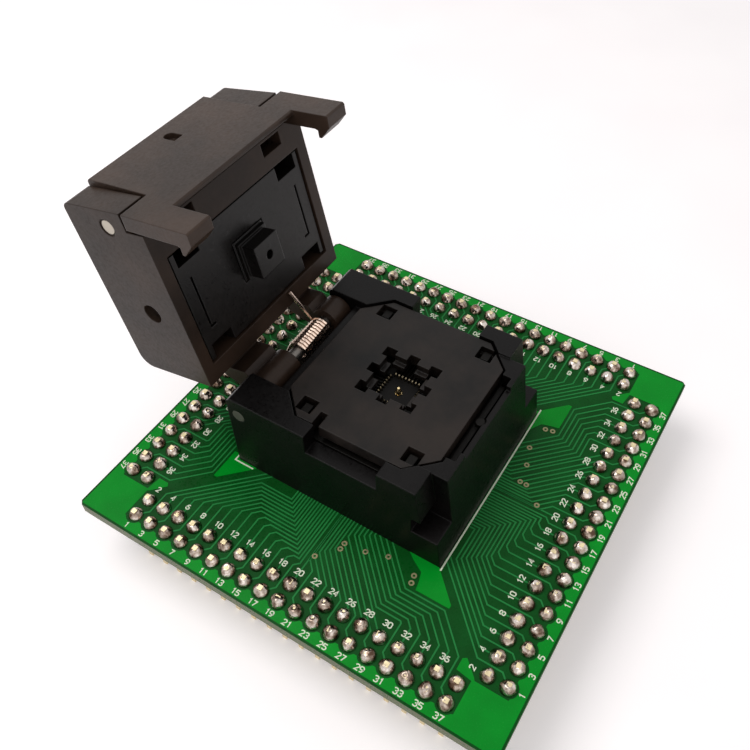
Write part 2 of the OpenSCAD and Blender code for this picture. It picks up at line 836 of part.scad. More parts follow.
// ---- hinge ----

module hinge_pin() {
  color([0.75, 0.75, 0.75])
    on_board()
      round_x(hinge_pin_r, -base_half_w, base_half_w, hinge_y, hinge_z);
}

// A point given along and out from the open lid, in the base's own frame
function lid_point(x, u, v) = [x,
  hinge_y - cos(open_angle) * u + sin(open_angle) * v,
  hinge_z + sin(open_angle) * u + cos(open_angle) * v];

module torsion_spring() {
  wire_r = torsion_wire / 2;
  steps = 14;
  // the upper leg ends under the lid, and leaves the coil at a tangent
  leg_u = lid_root + lid_root_t - wire_r;
  leg_v = lid_under - wire_r - leg_gap;
  leg_far = norm([leg_u, leg_v]);
  tangent = atan2(leg_v, leg_u) + acos(torsion_r / leg_far);
  start = lid_point(0, torsion_r * cos(tangent), torsion_r * sin(tangent));
  start_angle = atan2(start[2] - hinge_z, start[1] - hinge_y);
  // the lower leg bears on the recess's back edge
  leg_low = recess_floor - leg_rest;
  leg_drop = hinge_z + torsion_r * sin(leg_angle) - leg_low;
  sweep = start_angle - leg_angle + 360 * torsion_turns;
  left = torsion_left + wire_r;
  right = torsion_right - wire_r;
  count = ceil(sweep / 360 * steps);
  turns = [for (i = [0:count])
    let (a = start_angle - sweep * i / count)
    [right + (left - right) * i / count, hinge_y + torsion_r * cos(a), hinge_z + torsion_r * sin(a)]];
  path = concat([lid_point(right - leg_slant, leg_u, leg_v)], turns,
    [[left - leg_slant, hinge_y + torsion_r * cos(leg_angle) + leg_drop * tan(leg_angle), leg_low]]);
  color([0.75, 0.6, 0.5])
    on_board()
      wire(path, wire_r, [1, 0, 0], 6);
}

// ---- lid ----

// The arms that join the lid to its knuckles, as a side profile
module arm_profile() {
  union() {
    circle(r = knuckle_r);
    polygon([[-1.2, 1.65], [-2.2, 2.35], [-2.2, 4.7], [-lid_root - 0.3, 4.7],
      [-lid_root - 0.3, 8], [-2.4, 8], [-0.4, 6.2], [0.9, 3.6], [1.75, 0.9], [0, 0]]);
  }
}

module lid_frame() {
  color([0.17, 0.16, 0.16])
    on_lid()
      difference() {
        union() {
          across(-lid_half_w, lid_half_w)
            polygon(concat(
              [[-lid_root, lid_under]],
              arc_points(-lid_root - lid_round, lid_outer - lid_round, lid_round, 0, 90, 6),
              arc_points(-lid_end + lid_end_round, lid_outer - lid_end_round, lid_end_round, 90, 180, 4),
              [[-lid_end, block_under], [-bar_end, block_under], [-bar_end, lid_under]]));
          across(-knuckle_out, -left_knuckle_in)
            arm_profile();
          across(right_knuckle_in, knuckle_out)
            arm_profile();
        }
        // room for the pressure plate, its pin and springs
        block([-cavity_half, -cavity_u1, lid_under - over], [cavity_half, -cavity_u0, cavity_top]);
        round_x(cross_r + fit, -cross_end, cross_end, -cross_u, cross_v);
        both_sides()
          round_x(cross_hole_r, cross_end, lid_half_w + over, -cross_u, cross_v);
        // room for the latch
        block([-pocket_half, -lid_end - over, lid_under + bar_t], [pocket_half, -pocket_u, lid_outer + over]);
        round_x(latch_pin_r + fit, -lid_half_w - over, lid_half_w + over, -latch_u, latch_v);
        both_sides() {
          round_x(latch_pin_r + sink_w, lid_half_w - sink_h, lid_half_w + over, -latch_u, latch_v);
          block([bar_window_in, -bar_end + bar_window_strip, 0],
            [bar_window_out, -bar_window_start, lid_under + bar_t + over]);
          // seats of the latch springs
          translate([latch_spring_x, -pocket_u - over, latch_spring_v])
            rotate([-90, 0, 0])
              cylinder(r = coil_small_r + coil_wire / 2 + coil_seat_gap, h = latch_spring_seat + over);
        }
        round_x(hinge_pin_r + hinge_clear, -knuckle_out - over, knuckle_out + over, 0, 0);
      }
}

// ---- pressure plate, its pin and springs, and the pusher ----

module pressure_plate() {
  slot_r = cross_r + hinge_clear;
  ear_head = cross_r * 2;
  ear_foot = cross_r * 3.2;
  color([0.19, 0.18, 0.17])
    on_lid()
      difference() {
        union() {
          block([-press_half_w, -press_u1, press_face], [press_half_w, -press_u0, press_back]);
          // ears round the cross pin
          both_sides()
            across(press_ear_x, press_ear_x + press_ear_t)
              polygon([[-cross_u - ear_foot, press_back - fit], [-cross_u + ear_foot, press_back - fit],
                [-cross_u + ear_head, cross_v + ear_head], [-cross_u - ear_head, cross_v + ear_head]]);
        }
        // notches in both ends, and the slits
        both_sides() {
          for (u = [press_u0 - over, press_u1 - press_notch_l])
            block([notch_x - press_notch_w, -u - press_notch_l - over, 0],
              [notch_x, -u, press_back + over]);
          block([slit_x - slit_w / 2, -slit_end, 0], [slit_x + slit_w / 2, -slit_start, press_face + slit_h]);
          block([slit_x - slit_w * 3, -slit_start - slit_w, 0], [slit_x, -slit_start, press_face + slit_h]);
        }
        // window and seat of the pusher
        pusher_space(pusher_half + pusher_gap, 0, pusher_step);
        pusher_space(pusher_half + pusher_step_w + pusher_gap, pusher_step, press_back + over);
        // slot of the cross pin, long enough for the plate's travel
        round_x(slot_r, -press_half_w - over, press_half_w + over, -cross_u, cross_v);
        round_x(slot_r, -press_half_w - over, press_half_w + over, -cross_u, cross_v - press_travel);
        block([-press_half_w, -cross_u - slot_r, cross_v - press_travel],
          [press_half_w, -cross_u + slot_r, cross_v]);
      }
}

// A square block centred on the pusher
module pusher_space(half, low, high) {
  block([-half, -pusher_u - half, low], [half, -pusher_u + half, high]);
}

module pressure_pin() {
  color([0.7, 0.7, 0.72])
    on_lid()
      round_x(cross_r, -cross_end, cross_end, -cross_u, cross_v);
}

module pressure_springs() {
  color([0.7, 0.7, 0.72])
    on_lid()
      for (side = [-1, 1], u = [press_u0 + press_spring_in, press_u1 - press_spring_in])
        translate([side * press_spring_x, -u, press_back])
          coil(coil_large_r, cavity_top - press_back, 6);
}

module pusher() {
  color([0.17, 0.16, 0.16])
    on_lid()
      difference() {
        union() {
          pusher_space(pusher_half, press_face, pusher_back);
          pusher_space(pusher_half + pusher_step_w, pusher_step, pusher_back);
          pusher_space(pusher_flange, press_face - pusher_flange_h, pusher_step);
          pusher_space(pusher_nose, pusher_tip, press_face);
        }
        translate([0, -pusher_u, pusher_tip - over])
          cylinder(r = pusher_hole_r, h = press_face - pusher_tip + over, $fn = 32);
      }
}

// ---- latch ----

latch_back = latch_face - latch_t;

module latch() {
  color([0.18, 0.17, 0.16])
    on_latch()
      difference() {
        union() {
          // upper plate with its hub
          across(-latch_plate_half, latch_plate_half)
            polygon([[-latch_face, latch_bar_under], [-latch_face, latch_top - edge],
              [-latch_face + edge, latch_top], [-latch_back, latch_top], [-latch_back, latch_bar_under]]);
          round_x(latch_hub_r, -latch_plate_half, latch_plate_half, -latch_u, latch_v);
          // bar and lip
          across(-latch_half_w, latch_half_w)
            polygon([[-latch_face, latch_lip_under + 0.2], [-latch_face, latch_bar_top],
              [-latch_back, latch_bar_top], [-latch_back, latch_bar_under],
              [-latch_face + latch_lip_t, latch_bar_under], [-latch_face + latch_lip_t, latch_lip_under],
              [-latch_face + 0.2, latch_lip_under]]);
          // arms and hooks
          both_sides()
            across(latch_arm_in, latch_half_w)
              polygon([[-latch_face, latch_arm_end + 0.2], [-latch_face, latch_bar_top],
                [-latch_back, latch_bar_top], [-latch_back, latch_catch + 0.4],
                [-latch_back + 0.15, latch_catch], [-latch_nose, latch_catch],
                [-latch_nose, latch_catch - 0.4], [-latch_nose - 1.5, latch_arm_end],
                [-latch_face + 0.2, latch_arm_end]]);
        }
        round_x(latch_pin_r + hinge_clear, -latch_plate_half - over, latch_plate_half + over,
          -latch_u, latch_v);
        // arched slot in the face
        translate([latch_slot_x, -latch_face + latch_slot_h, latch_slot_v])
          rotate([90, 0, 0])
            linear_extrude(latch_slot_h + over) {
              translate([-latch_slot_w / 2, 0])
                square([latch_slot_w, latch_slot_l]);
              translate([0, latch_slot_l])
                circle(d = latch_slot_w, $fn = 24);
            }
      }
}

module latch_pin() {
  color([0.8, 0.8, 0.8])
    on_lid()
      round_x(latch_pin_r, -lid_half_w + 0.1, lid_half_w - 0.1, -latch_u, latch_v);
}

module latch_springs() {
  start = pocket_u - latch_spring_seat;
  reach = latch_back + (latch_spring_v - coil_small_r - latch_v) * sin(latch_lean) - 0.05;
  color([0.7, 0.7, 0.72])
    on_lid()
      for (side = [-1, 1])
        translate([side * latch_spring_x, -start, latch_spring_v])
          rotate([90, 0, 0])
            coil(coil_small_r, reach - start, 4);
}

circuit_board();
header_front();
header_back();
header_left();
header_right();
pins_front();
pins_back();
pins_left();
pins_right();
solder_front();
solder_back();
solder_left();
solder_right();
base_housing();
contact_carrier();
contacts_front();
contacts_back();
contacts_left();
contacts_right();
probe_barrel();
probe_plunger();
probe_spring();
nest_plate();
nest_springs();
hinge_pin();
torsion_spring();
lid_frame();
pressure_plate();
pressure_pin();
pressure_springs();
pusher();
latch();
latch_pin();
latch_springs();
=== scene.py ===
"""Looks of the clamshell test socket on its adapter board: materials, print, traces, solder and stage."""
import math
import random

import bpy
import bmesh
from mathutils import Matrix, Vector


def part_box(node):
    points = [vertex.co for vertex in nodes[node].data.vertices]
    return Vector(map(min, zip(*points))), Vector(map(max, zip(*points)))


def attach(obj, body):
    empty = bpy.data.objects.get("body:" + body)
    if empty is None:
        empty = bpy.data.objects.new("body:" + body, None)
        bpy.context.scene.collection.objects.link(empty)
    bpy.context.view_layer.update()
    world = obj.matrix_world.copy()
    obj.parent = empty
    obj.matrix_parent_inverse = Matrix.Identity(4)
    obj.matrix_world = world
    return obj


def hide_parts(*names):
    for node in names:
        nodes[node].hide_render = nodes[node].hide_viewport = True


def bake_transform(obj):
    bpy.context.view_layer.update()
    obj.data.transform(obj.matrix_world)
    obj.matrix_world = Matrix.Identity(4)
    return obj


MM = 0.001
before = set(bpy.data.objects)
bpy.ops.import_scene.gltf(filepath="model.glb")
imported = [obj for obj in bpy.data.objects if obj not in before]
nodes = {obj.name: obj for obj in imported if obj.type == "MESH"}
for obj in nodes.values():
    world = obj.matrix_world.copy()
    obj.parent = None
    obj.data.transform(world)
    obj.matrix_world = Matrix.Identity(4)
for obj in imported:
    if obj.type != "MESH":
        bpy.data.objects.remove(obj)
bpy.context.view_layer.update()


def corners(node):
    """Lowest and highest corner of a CAD node, in millimetres."""
    low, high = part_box(node)
    return Vector(low) / MM, Vector(high) / MM


BASE_LOW, BASE_HIGH = corners("base_housing")
BOARD_HIGH = corners("circuit_board")[1]
BOARD_TOP = BOARD_HIGH.z
BOARD_HALF = BOARD_HIGH.x
FLOOR_Z = corners("pins_front")[0].z
# Pin field: pitch, columns on a side, and the two rows' distances from the middle of the board
PITCH = 2.54
COLUMNS = 19
INNER_ROW = 25.4
OUTER_ROW = INNER_ROW + PITCH
COLUMN_END = (COLUMNS - 1) / 2 * PITCH
# Turn of each side from the front one, in degrees
SIDES = {"front": 0, "right": 90, "back": 180, "left": 270}


# ---- mesh helpers ----

def turned(side):
    """Turns the front side's coordinates into another side's."""
    return Matrix.Rotation(math.radians(SIDES[side]), 4, "Z")


def object_from(bm, name, material):
    """Makes an object of a bmesh drawn in millimetres."""
    mesh = bpy.data.meshes.new(name)
    bm.transform(Matrix.Scale(MM, 4))
    bm.to_mesh(mesh)
    bm.free()
    mesh.materials.append(material)
    made = bpy.data.objects.new(name, mesh)
    bpy.context.scene.collection.objects.link(made)
    return made


def piece_from(bm, name, material, smooth=False):
    """Makes a piece of the board of a bmesh, with the given material, and hangs it on the base's body."""
    piece = object_from(bm, name, material)
    for polygon in piece.data.polygons:
        polygon.use_smooth = smooth
    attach(piece, "base")
    return piece


def add_quad(bm, points):
    """One flat face through the given points."""
    return bm.faces.new([bm.verts.new(p) for p in points])


def ribbon_outline(path, width):
    """Left and right edges of a ribbon along a path of (x, y) points, mitred at its corners."""
    left, right = [], []
    for i, point in enumerate(path):
        p = Vector(point)
        before = (p - Vector(path[i - 1])).normalized() if i else None
        after = (Vector(path[i + 1]) - p).normalized() if i < len(path) - 1 else None
        way = ((before or after) + (after or before)).normalized()
        normal = Vector((-way.y, way.x))
        stretch = 1 / max(0.5, abs(way.dot(before or after)))
        left.append(p + normal * width / 2 * stretch)
        right.append(p - normal * width / 2 * stretch)
    return left, right


def add_ribbon(bm, path, width, low, high, turn):
    """A thin raised strip along a path, such as a trace or a stroke of a numeral."""
    left, right = ribbon_outline(path, width)
    rows = []
    for a, b in zip(left, right):
        rows.append([bm.verts.new(turn @ Vector((q.x, q.y, z))) for q in (a, b) for z in (low, high)])
    for (a0, a1, b0, b1), (c0, c1, d0, d1) in zip(rows, rows[1:]):
        bm.faces.new([a1, b1, d1, c1])
        bm.faces.new([a0, a1, c1, c0])
        bm.faces.new([b1, b0, d0, d1])
    for a0, a1, b0, b1 in (rows[0], rows[-1]):
        bm.faces.new([a0, b0, b1, a1])


def join_rings(bm, rings, steps):
    """Faces between rings of points, each ring closed on itself."""
    for a, b in zip(rings, rings[1:]):
        for k in range(steps):
            j = (k + 1) % steps
            bm.faces.new([a[k], a[j], b[j], b[k]])


def add_ring(bm, centre, inner, outer, low, high, turn):
    """A flat ring with a raised top, such as a via."""
    steps = 16
    rings = []
    for radius, z in ((outer, low), (outer, high), (inner, high), (inner, low)):
        rings.append([
            bm.verts.new(turn @ Vector((centre[0] + radius * math.cos(2 * math.pi * k / steps),
                                        centre[1] + radius * math.sin(2 * math.pi * k / steps), z)))
            for k in range(steps)])
    join_rings(bm, rings, steps)


# ---- material helpers ----

def new_material(name):
    """A node material with its Principled shader and object coordinates."""
    material = bpy.data.materials.new(name)
    material.use_nodes = True
    tree = material.node_tree
    shader = tree.nodes["Principled BSDF"]
    place = tree.nodes.new("ShaderNodeTexCoord").outputs["Object"]
    return material, tree, shader, place


def noise(tree, place, scale, detail=4.0, roughness=0.55):
    """A noise texture whose scale is in features per metre."""
    node = tree.nodes.new("ShaderNodeTexNoise")
    node.inputs["Scale"].default_value = scale
    node.inputs["Detail"].default_value = detail
    node.inputs["Roughness"].default_value = roughness
    tree.links.new(place, node.inputs["Vector"])
    return node.outputs["Fac"]


def ramp(tree, factor, stops):
    """A colour ramp over a factor; stops are (position, colour)."""
    node = tree.nodes.new("ShaderNodeValToRGB")
    elements = node.color_ramp.elements
    for element, (position, colour) in zip(elements, stops[:2]):
        element.position = position
        element.color = (*colour, 1)
    for position, colour in stops[2:]:
        elements.new(position).color = (*colour, 1)
    tree.links.new(factor, node.inputs["Fac"])
    return node.outputs["Color"]


def span(tree, factor, low, high):
    """Maps a factor of 0.3 to 0.7 onto low to high."""
    node = tree.nodes.new("ShaderNodeMapRange")
    node.inputs["From Min"].default_value = 0.3
    node.inputs["From Max"].default_value = 0.7
    node.inputs["To Min"].default_value = low
    node.inputs["To Max"].default_value = high
    tree.links.new(factor, node.inputs["Value"])
    return node.outputs["Result"]


def bump(tree, shader, heights, edge=0.0):
    """Bumps from (height, strength, distance) tuples, over softened edges where edge is above nothing."""
    normal = None
    if edge:
        node = tree.nodes.new("ShaderNodeBevel")
        node.samples = 6
        node.inputs["Radius"].default_value = edge
        normal = node.outputs["Normal"]
    for height, strength, distance in heights:
        node = tree.nodes.new("ShaderNodeBump")
        node.inputs["Strength"].default_value = strength
        node.inputs["Distance"].default_value = distance
        tree.links.new(height, node.inputs["Height"])
        if normal:
            tree.links.new(normal, node.inputs["Normal"])
        normal = node.outputs["Normal"]
    tree.links.new(normal, shader.inputs["Normal"])


def scaled(colour, factor):
    """A colour made lighter or darker."""
    return tuple(min(1.0, c * factor) for c in colour)


def moulded_plastic(name, colour, rough, gloss=0.5, edge=0.00018, grain=0.35, smudge=0.0):
    """Satin moulded black: faint flow mottling, fine grain, softened edges, and smudges from handling."""
    material, tree, shader, place = new_material(name)
    broad = noise(tree, place, 110, 4, 0.6)
    fine = noise(tree, place, 2600, 3)
    grain_height = noise(tree, place, 9000, 2)
    dark, pale = scaled(colour, 0.75 - smudge), scaled(colour, 1.25 + smudge)
    tree.links.new(ramp(tree, broad, [(0.35, dark), (0.65, pale)]), shader.inputs["Base Color"])
    mixed = tree.nodes.new("ShaderNodeMix")
    mixed.data_type = "FLOAT"
    mixed.inputs["Factor"].default_value = smudge
    tree.links.new(fine, mixed.inputs["A"])
    tree.links.new(broad, mixed.inputs["B"])
    smooth, worn = rough - 0.07 - 0.1 * smudge, rough + 0.09 + 0.2 * smudge
    tree.links.new(span(tree, mixed.outputs["Result"], smooth, worn), shader.inputs["Roughness"])
    shader.inputs["Specular IOR Level"].default_value = gloss
    heights = [(broad, 0.12, 0.00006), (fine, grain * 0.4, 0.00002), (grain_height, grain, 0.000008)]
    bump(tree, shader, heights, edge)
    return material


def metal(name, colour, rough, edge=0.00006, streak=0.0):
    """Plain metal with small scratches and an uneven shine."""
    material, tree, shader, place = new_material(name)
    mapped = tree.nodes.new("ShaderNodeMapping")
    mapped.inputs["Scale"].default_value = (1, 1 + streak * 30, 1 + streak * 30)
    tree.links.new(place, mapped.inputs["Vector"])
    fine = noise(tree, mapped.outputs["Vector"], 1800, 4)
    tree.links.new(ramp(tree, fine, [(0.3, scaled(colour, 0.8)), (0.7, scaled(colour, 1.1))]),
                   shader.inputs["Base Color"])
    shader.inputs["Metallic"].default_value = 1.0
    tree.links.new(span(tree, fine, rough * 0.7, rough * 1.4), shader.inputs["Roughness"])
    bump(tree, shader, [(fine, 0.15, 0.00001)], edge)
    return material


def solder_mask(name, colour, rough=0.22, mottle=1.12):
    """Glossy lacquer over copper or bare laminate, slightly uneven."""
    material, tree, shader, place = new_material(name)
    broad = noise(tree, place, 220, 3)
    fine = noise(tree, place, 5000, 2)
    tree.links.new(ramp(tree, broad, [(0.3, scaled(colour, 1 / mottle)), (0.7, scaled(colour, mottle))]),
                   shader.inputs["Base Color"])
    tree.links.new(span(tree, fine, rough - 0.06, rough + 0.08), shader.inputs["Roughness"])
    shader.inputs["Specular IOR Level"].default_value = 0.1
    bump(tree, shader, [(broad, 0.2, 0.00003), (fine, 0.25, 0.000006)])
    return material


def board_material():
    """Bare laminate under dark mask on top and below, and the sawn brown-green edge of the board."""
    material, tree, shader, place = new_material("board_laminate")
    broad = noise(tree, place, 260, 3)
    weave = noise(tree, place, 3500, 2)
    face = ramp(tree, broad, [(0.3, (0.0, 0.05, 0.004)), (0.7, (0.001, 0.078, 0.009))])
    side = ramp(tree, weave, [(0.3, (0.06, 0.10, 0.035)), (0.7, (0.16, 0.17, 0.08))])
    geometry = tree.nodes.new("ShaderNodeNewGeometry")
    split = tree.nodes.new("ShaderNodeSeparateXYZ")
    tree.links.new(geometry.outputs["True Normal"], split.inputs["Vector"])
    level = tree.nodes.new("ShaderNodeMath")
    level.operation = "ABSOLUTE"
    tree.links.new(split.outputs["Z"], level.inputs[0])
    mix = tree.nodes.new("ShaderNodeMix")
    mix.data_type = "RGBA"
    tree.links.new(level.outputs["Value"], mix.inputs["Factor"])
    tree.links.new(side, mix.inputs["A"])
    tree.links.new(face, mix.inputs["B"])
    tree.links.new(mix.outputs["Result"], shader.inputs["Base Color"])
    tree.links.new(span(tree, weave, 0.22, 0.4), shader.inputs["Roughness"])
    shader.inputs["Specular IOR Level"].default_value = 0.1
    bump(tree, shader, [(weave, 0.2, 0.000008)])
    return material


def solder_material():
    """Bright tin with a brownish film of flux in its hollows."""
    material, tree, shader, place = new_material("solder_tin")
    patch = noise(tree, place, 900, 4)
    fine = noise(tree, place, 4000, 3)
    tree.links.new(ramp(tree, patch, [(0.36, (0.10, 0.06, 0.04)), (0.48, (0.34, 0.27, 0.22)),
                                      (0.64, (0.66, 0.60, 0.55))]),
                   shader.inputs["Base Color"])
    shader.inputs["Metallic"].default_value = 1.0
    tree.links.new(span(tree, patch, 0.32, 0.12), shader.inputs["Roughness"])
    bump(tree, shader, [(patch, 0.7, 0.00016), (fine, 0.3, 0.00002)])
    return material


# The lid's and the latch's blacks are made lighter than the other blacks: painted light for their lit top and
# end faces
BLACK_LID_PAINTED_LIGHT = moulded_plastic("plastic_lid_painted_light", (0.026, 0.0155, 0.0105), 0.36, 0.18, grain=0.5, smudge=0.1)
BLACK_LATCH_PAINTED_LIGHT = moulded_plastic("plastic_latch_painted_light", (0.034, 0.0200, 0.0135), 0.40, 0.26, grain=0.5, smudge=0.1)
BLACK_BASE = moulded_plastic("plastic_base", (0.0025, 0.002, 0.002), 0.33, 0.15, edge=0.00022, smudge=0.2)
BLACK_NEST = moulded_plastic("plastic_nest", (0.0085, 0.0058, 0.0045), 0.38, 0.23, smudge=0.6)
BLACK_PRESS = moulded_plastic("plastic_press", (0.0035, 0.0025, 0.002), 0.34, 0.30, smudge=0.3)
BLACK_CARRIER = moulded_plastic("plastic_carrier", (0.003, 0.0025, 0.002), 0.42, 0.12)
BLACK_HEADER = moulded_plastic("plastic_header", (0.006, 0.006, 0.006), 0.38, 0.3)
LAMINATE = board_material()
MASK_COPPER = solder_mask("mask_over_copper", (0.0, 0.25, 0.017))
MASK_TRACE = solder_mask("mask_over_trace", (0.016, 0.20, 0.045), 0.3)
SILK = solder_mask("silkscreen_ink", (0.72, 0.78, 0.62), 0.5, 1.05)
SOLDER = solder_material()
TINNED = metal("tinned_pad", (0.26, 0.24, 0.13), 0.45)
STEEL = metal("ground_steel", (0.50, 0.46, 0.39), 0.42, streak=0.3)
# The hinge pin's steel is a darker copy of the ground steel: painted shade for the shade under the torsion
# spring's coil
STEEL_PAINTED_SHADE = metal("steel_painted_shade", (0.20, 0.185, 0.17), 0.42, streak=0.3)
SPRING = metal("spring_wire", (0.72, 0.56, 0.46), 0.22)
SPRING_DULL = metal("spring_wire_dull", (0.45, 0.43, 0.42), 0.32)
GOLD = metal("gold_plating", (0.98, 0.74, 0.40), 0.22)
CONTACT = metal("contact_plating", (0.24, 0.20, 0.13), 0.4)
PIN = metal("header_pin_plating", (0.80, 0.68, 0.42), 0.28)

NODE_LOOKS = {
    "circuit_board": LAMINATE, "base_housing": BLACK_BASE, "contact_carrier": BLACK_CARRIER,
    "nest_plate": BLACK_NEST, "lid_frame": BLACK_LID_PAINTED_LIGHT, "latch": BLACK_LATCH_PAINTED_LIGHT, "pressure_plate": BLACK_PRESS,
    "pusher": BLACK_PRESS, "hinge_pin": STEEL_PAINTED_SHADE, "latch_pin": STEEL, "pressure_pin": STEEL,
    "torsion_spring": SPRING, "nest_springs": SPRING_DULL, "pressure_springs": SPRING_DULL,
    "latch_springs": SPRING_DULL, "probe_spring": SPRING_DULL, "probe_barrel": GOLD, "probe_plunger": GOLD,
}
for side in SIDES:
    NODE_LOOKS["header_" + side] = BLACK_HEADER
    NODE_LOOKS["pins_" + side] = PIN
    NODE_LOOKS["solder_" + side] = SOLDER
    NODE_LOOKS["contacts_" + side] = CONTACT


def dress_nodes():
    """Gives every CAD node its material."""
    for name, node in nodes.items():
        node.data.materials.clear()
        node.data.materials.append(NODE_LOOKS[name])


# ---- springs ----

# Springs between two bodies: the body they stand on, the body they push, and the joint between the two
FLEXING_SPRINGS = {
    "nest_springs": ("base", "nest", "nest_slide"),
    "probe_spring": ("base", "probe", "probe_slide"),
    "pressure_springs": ("lid", "press", "pressure_slide"),
    "latch_springs": ("lid", "catch", "latch_pivot"),
}


def make_flexing_spring(name):
    """Stands for a dressed node of springs with a copy of its mesh, and hides the node."""
    piece = bpy.data.objects.new(name + "_flexing", nodes[name].data.copy())
    bpy.context.scene.collection.objects.link(piece)
    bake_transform(piece)
    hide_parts(name)
    return piece


# ---- printed circuit ----

# Tops of the traces, of the copper areas and of the print
COPPER_HIGH = BOARD_TOP + 0.035
POUR_HIGH = BOARD_TOP + 0.045
SILK_HIGH = BOARD_TOP + 0.06
# Distance of the socket's edge from the middle, and the place just under the socket where the traces end
SOCKET_EDGE = BASE_HIGH.x
TRACE_END = SOCKET_EDGE - 1
TRACE_WIDTH = 0.2
# Traces in each half of a side, called lanes and counted from the middle
LANES = 18
# A slant is told by its sideways place less its outward place. The outermost early lane has the slant and the
# run named first, and each lane further in goes one step on.
EARLY_SLANT = -6.4
EARLY_SLANT_STEP = 0.93
EARLY_RUN = 18.55
EARLY_RUN_STEP = 0.64
# Innermost early lane with a run along the side, and where such lanes first turn
EARLY_RUN_LANE = 11
FIRST_TURN = 22.6
# The same for the late lanes, whose runs pass close to the socket
LATE_SLANT = -1.875
LATE_SLANT_STEP = 0.875
LATE_SLANT_LANE = 8
LATE_RUN = 15.5
LATE_RUN_STEP = 0.5
LATE_RUN_LANE = 15
# Spacing of the traces where they go in under the socket
END_STEP = 0.45
# Lanes that end in a via, and the via's distance from the middle of the board
VIA_LANES = {2: 20.7, 7: 18.2, 8: 17.3}
# More vias, at (sideways, outward) places
FREE_VIAS = [(12.4, 17.55), (12.2, 16.55), (8.2, 16.0), (5.4, 16.9)]
VIA_HOLE = 0.16
VIA_RIM = 0.38
VIA_HIGH = COPPER_HIGH + 0.02
# Gap from a pad's middle to the copper round it, and the board's rim without copper
PAD_CLEARANCE = 1.25
BOARD_RIM = 0.3
# Print
PRINT_WIDTH = 0.2
NUMERAL_HEIGHT = 0.68
NUMERAL_STROKE = 0.14
ODD_NUMBERS = 29.66
EVEN_NUMBERS = 23.5


def column_place(column):
    """Distance of a pin column from the middle of its side."""
    return (column - (COLUMNS - 1) / 2) * PITCH


def lane_start(lane):
    """The first points of a trace, at (sideways, outward) places: even lanes leave an inner pad, and odd
    ones leave an outer pad and pass between two inner ones."""
    reach = lane * PITCH / 2
    if lane % 2 == 0:
        return reach, [(reach, INNER_ROW)]
    return reach, [(reach + PITCH / 2, OUTER_ROW), (reach, OUTER_ROW - PITCH / 2)]


def early_path(lane):
    """A trace that turns near its pad, runs along the side and then slants in under the socket."""
    reach, path = lane_start(lane)
    inward = LANES - 1 - lane
    slant = EARLY_SLANT - EARLY_SLANT_STEP * inward
    if lane >= EARLY_RUN_LANE:
        run = EARLY_RUN + EARLY_RUN_STEP * inward
        path += [(reach, FIRST_TURN), (reach - (FIRST_TURN - run), run), (slant + run, run)]
    else:
        turn_in = min(reach - slant, INNER_ROW - 0.01)
        path.append((reach, turn_in))
        slant = reach - turn_in
    if lane in VIA_LANES:
        return path + [(slant + VIA_LANES[lane], VIA_LANES[lane])]
    if lane < 7:
        rank = lane if lane < 2 else lane - 1
        target = 0.1 + END_STEP * (rank - 1)
    else:
        target = 2.4 + 0.55 * (lane - 9)
    if slant + SOCKET_EDGE < target:
        return path + [(target, target - slant), (target, TRACE_END)]
    return path + [(slant + TRACE_END, TRACE_END)]


def late_path(lane):
    """A trace that runs straight in, slants, and runs along the socket before it turns in."""
    reach, path = lane_start(lane)
    if lane == 0:
        return path + [(0, TRACE_END)]
    run = LATE_RUN + LATE_RUN_STEP * (LATE_RUN_LANE - lane)
    slant = reach - run - 0.6
    if lane >= LATE_SLANT_LANE:
        slant = LATE_SLANT - LATE_SLANT_STEP * (LANES - 1 - lane)
    path.append((reach, reach - slant))
    if lane > LATE_RUN_LANE:
        return path + [(slant + TRACE_END, TRACE_END)]
    target = 0.2 + END_STEP * lane
    return path + [(slant + run, run), (target, run), (target, TRACE_END)]


def make_traces(side):
    """The fan of traces of one side: its right half turns early, its left half late."""
    bm = bmesh.new()
    turn = turned(side)
    for lane in range(LANES):
        for half, route in ((1, early_path), (-1, late_path)):
            if lane or half < 0:
                path = [(half * s, -t) for s, t in route(lane)]
                add_ribbon(bm, path, TRACE_WIDTH, BOARD_TOP, COPPER_HIGH, turn)
    return piece_from(bm, "traces_" + side, MASK_TRACE)


def make_vias(side):
    """Vias at the ends of some traces, beside the socket's corner pour and in front of the socket."""
    bm = bmesh.new()
    turn = turned(side)
    for s, t in [early_path(lane)[-1] for lane in VIA_LANES] + FREE_VIAS:
        add_ring(bm, (s, -t), VIA_HOLE, VIA_RIM, BOARD_TOP, VIA_HIGH, turn)
    return piece_from(bm, "vias_" + side, TINNED)


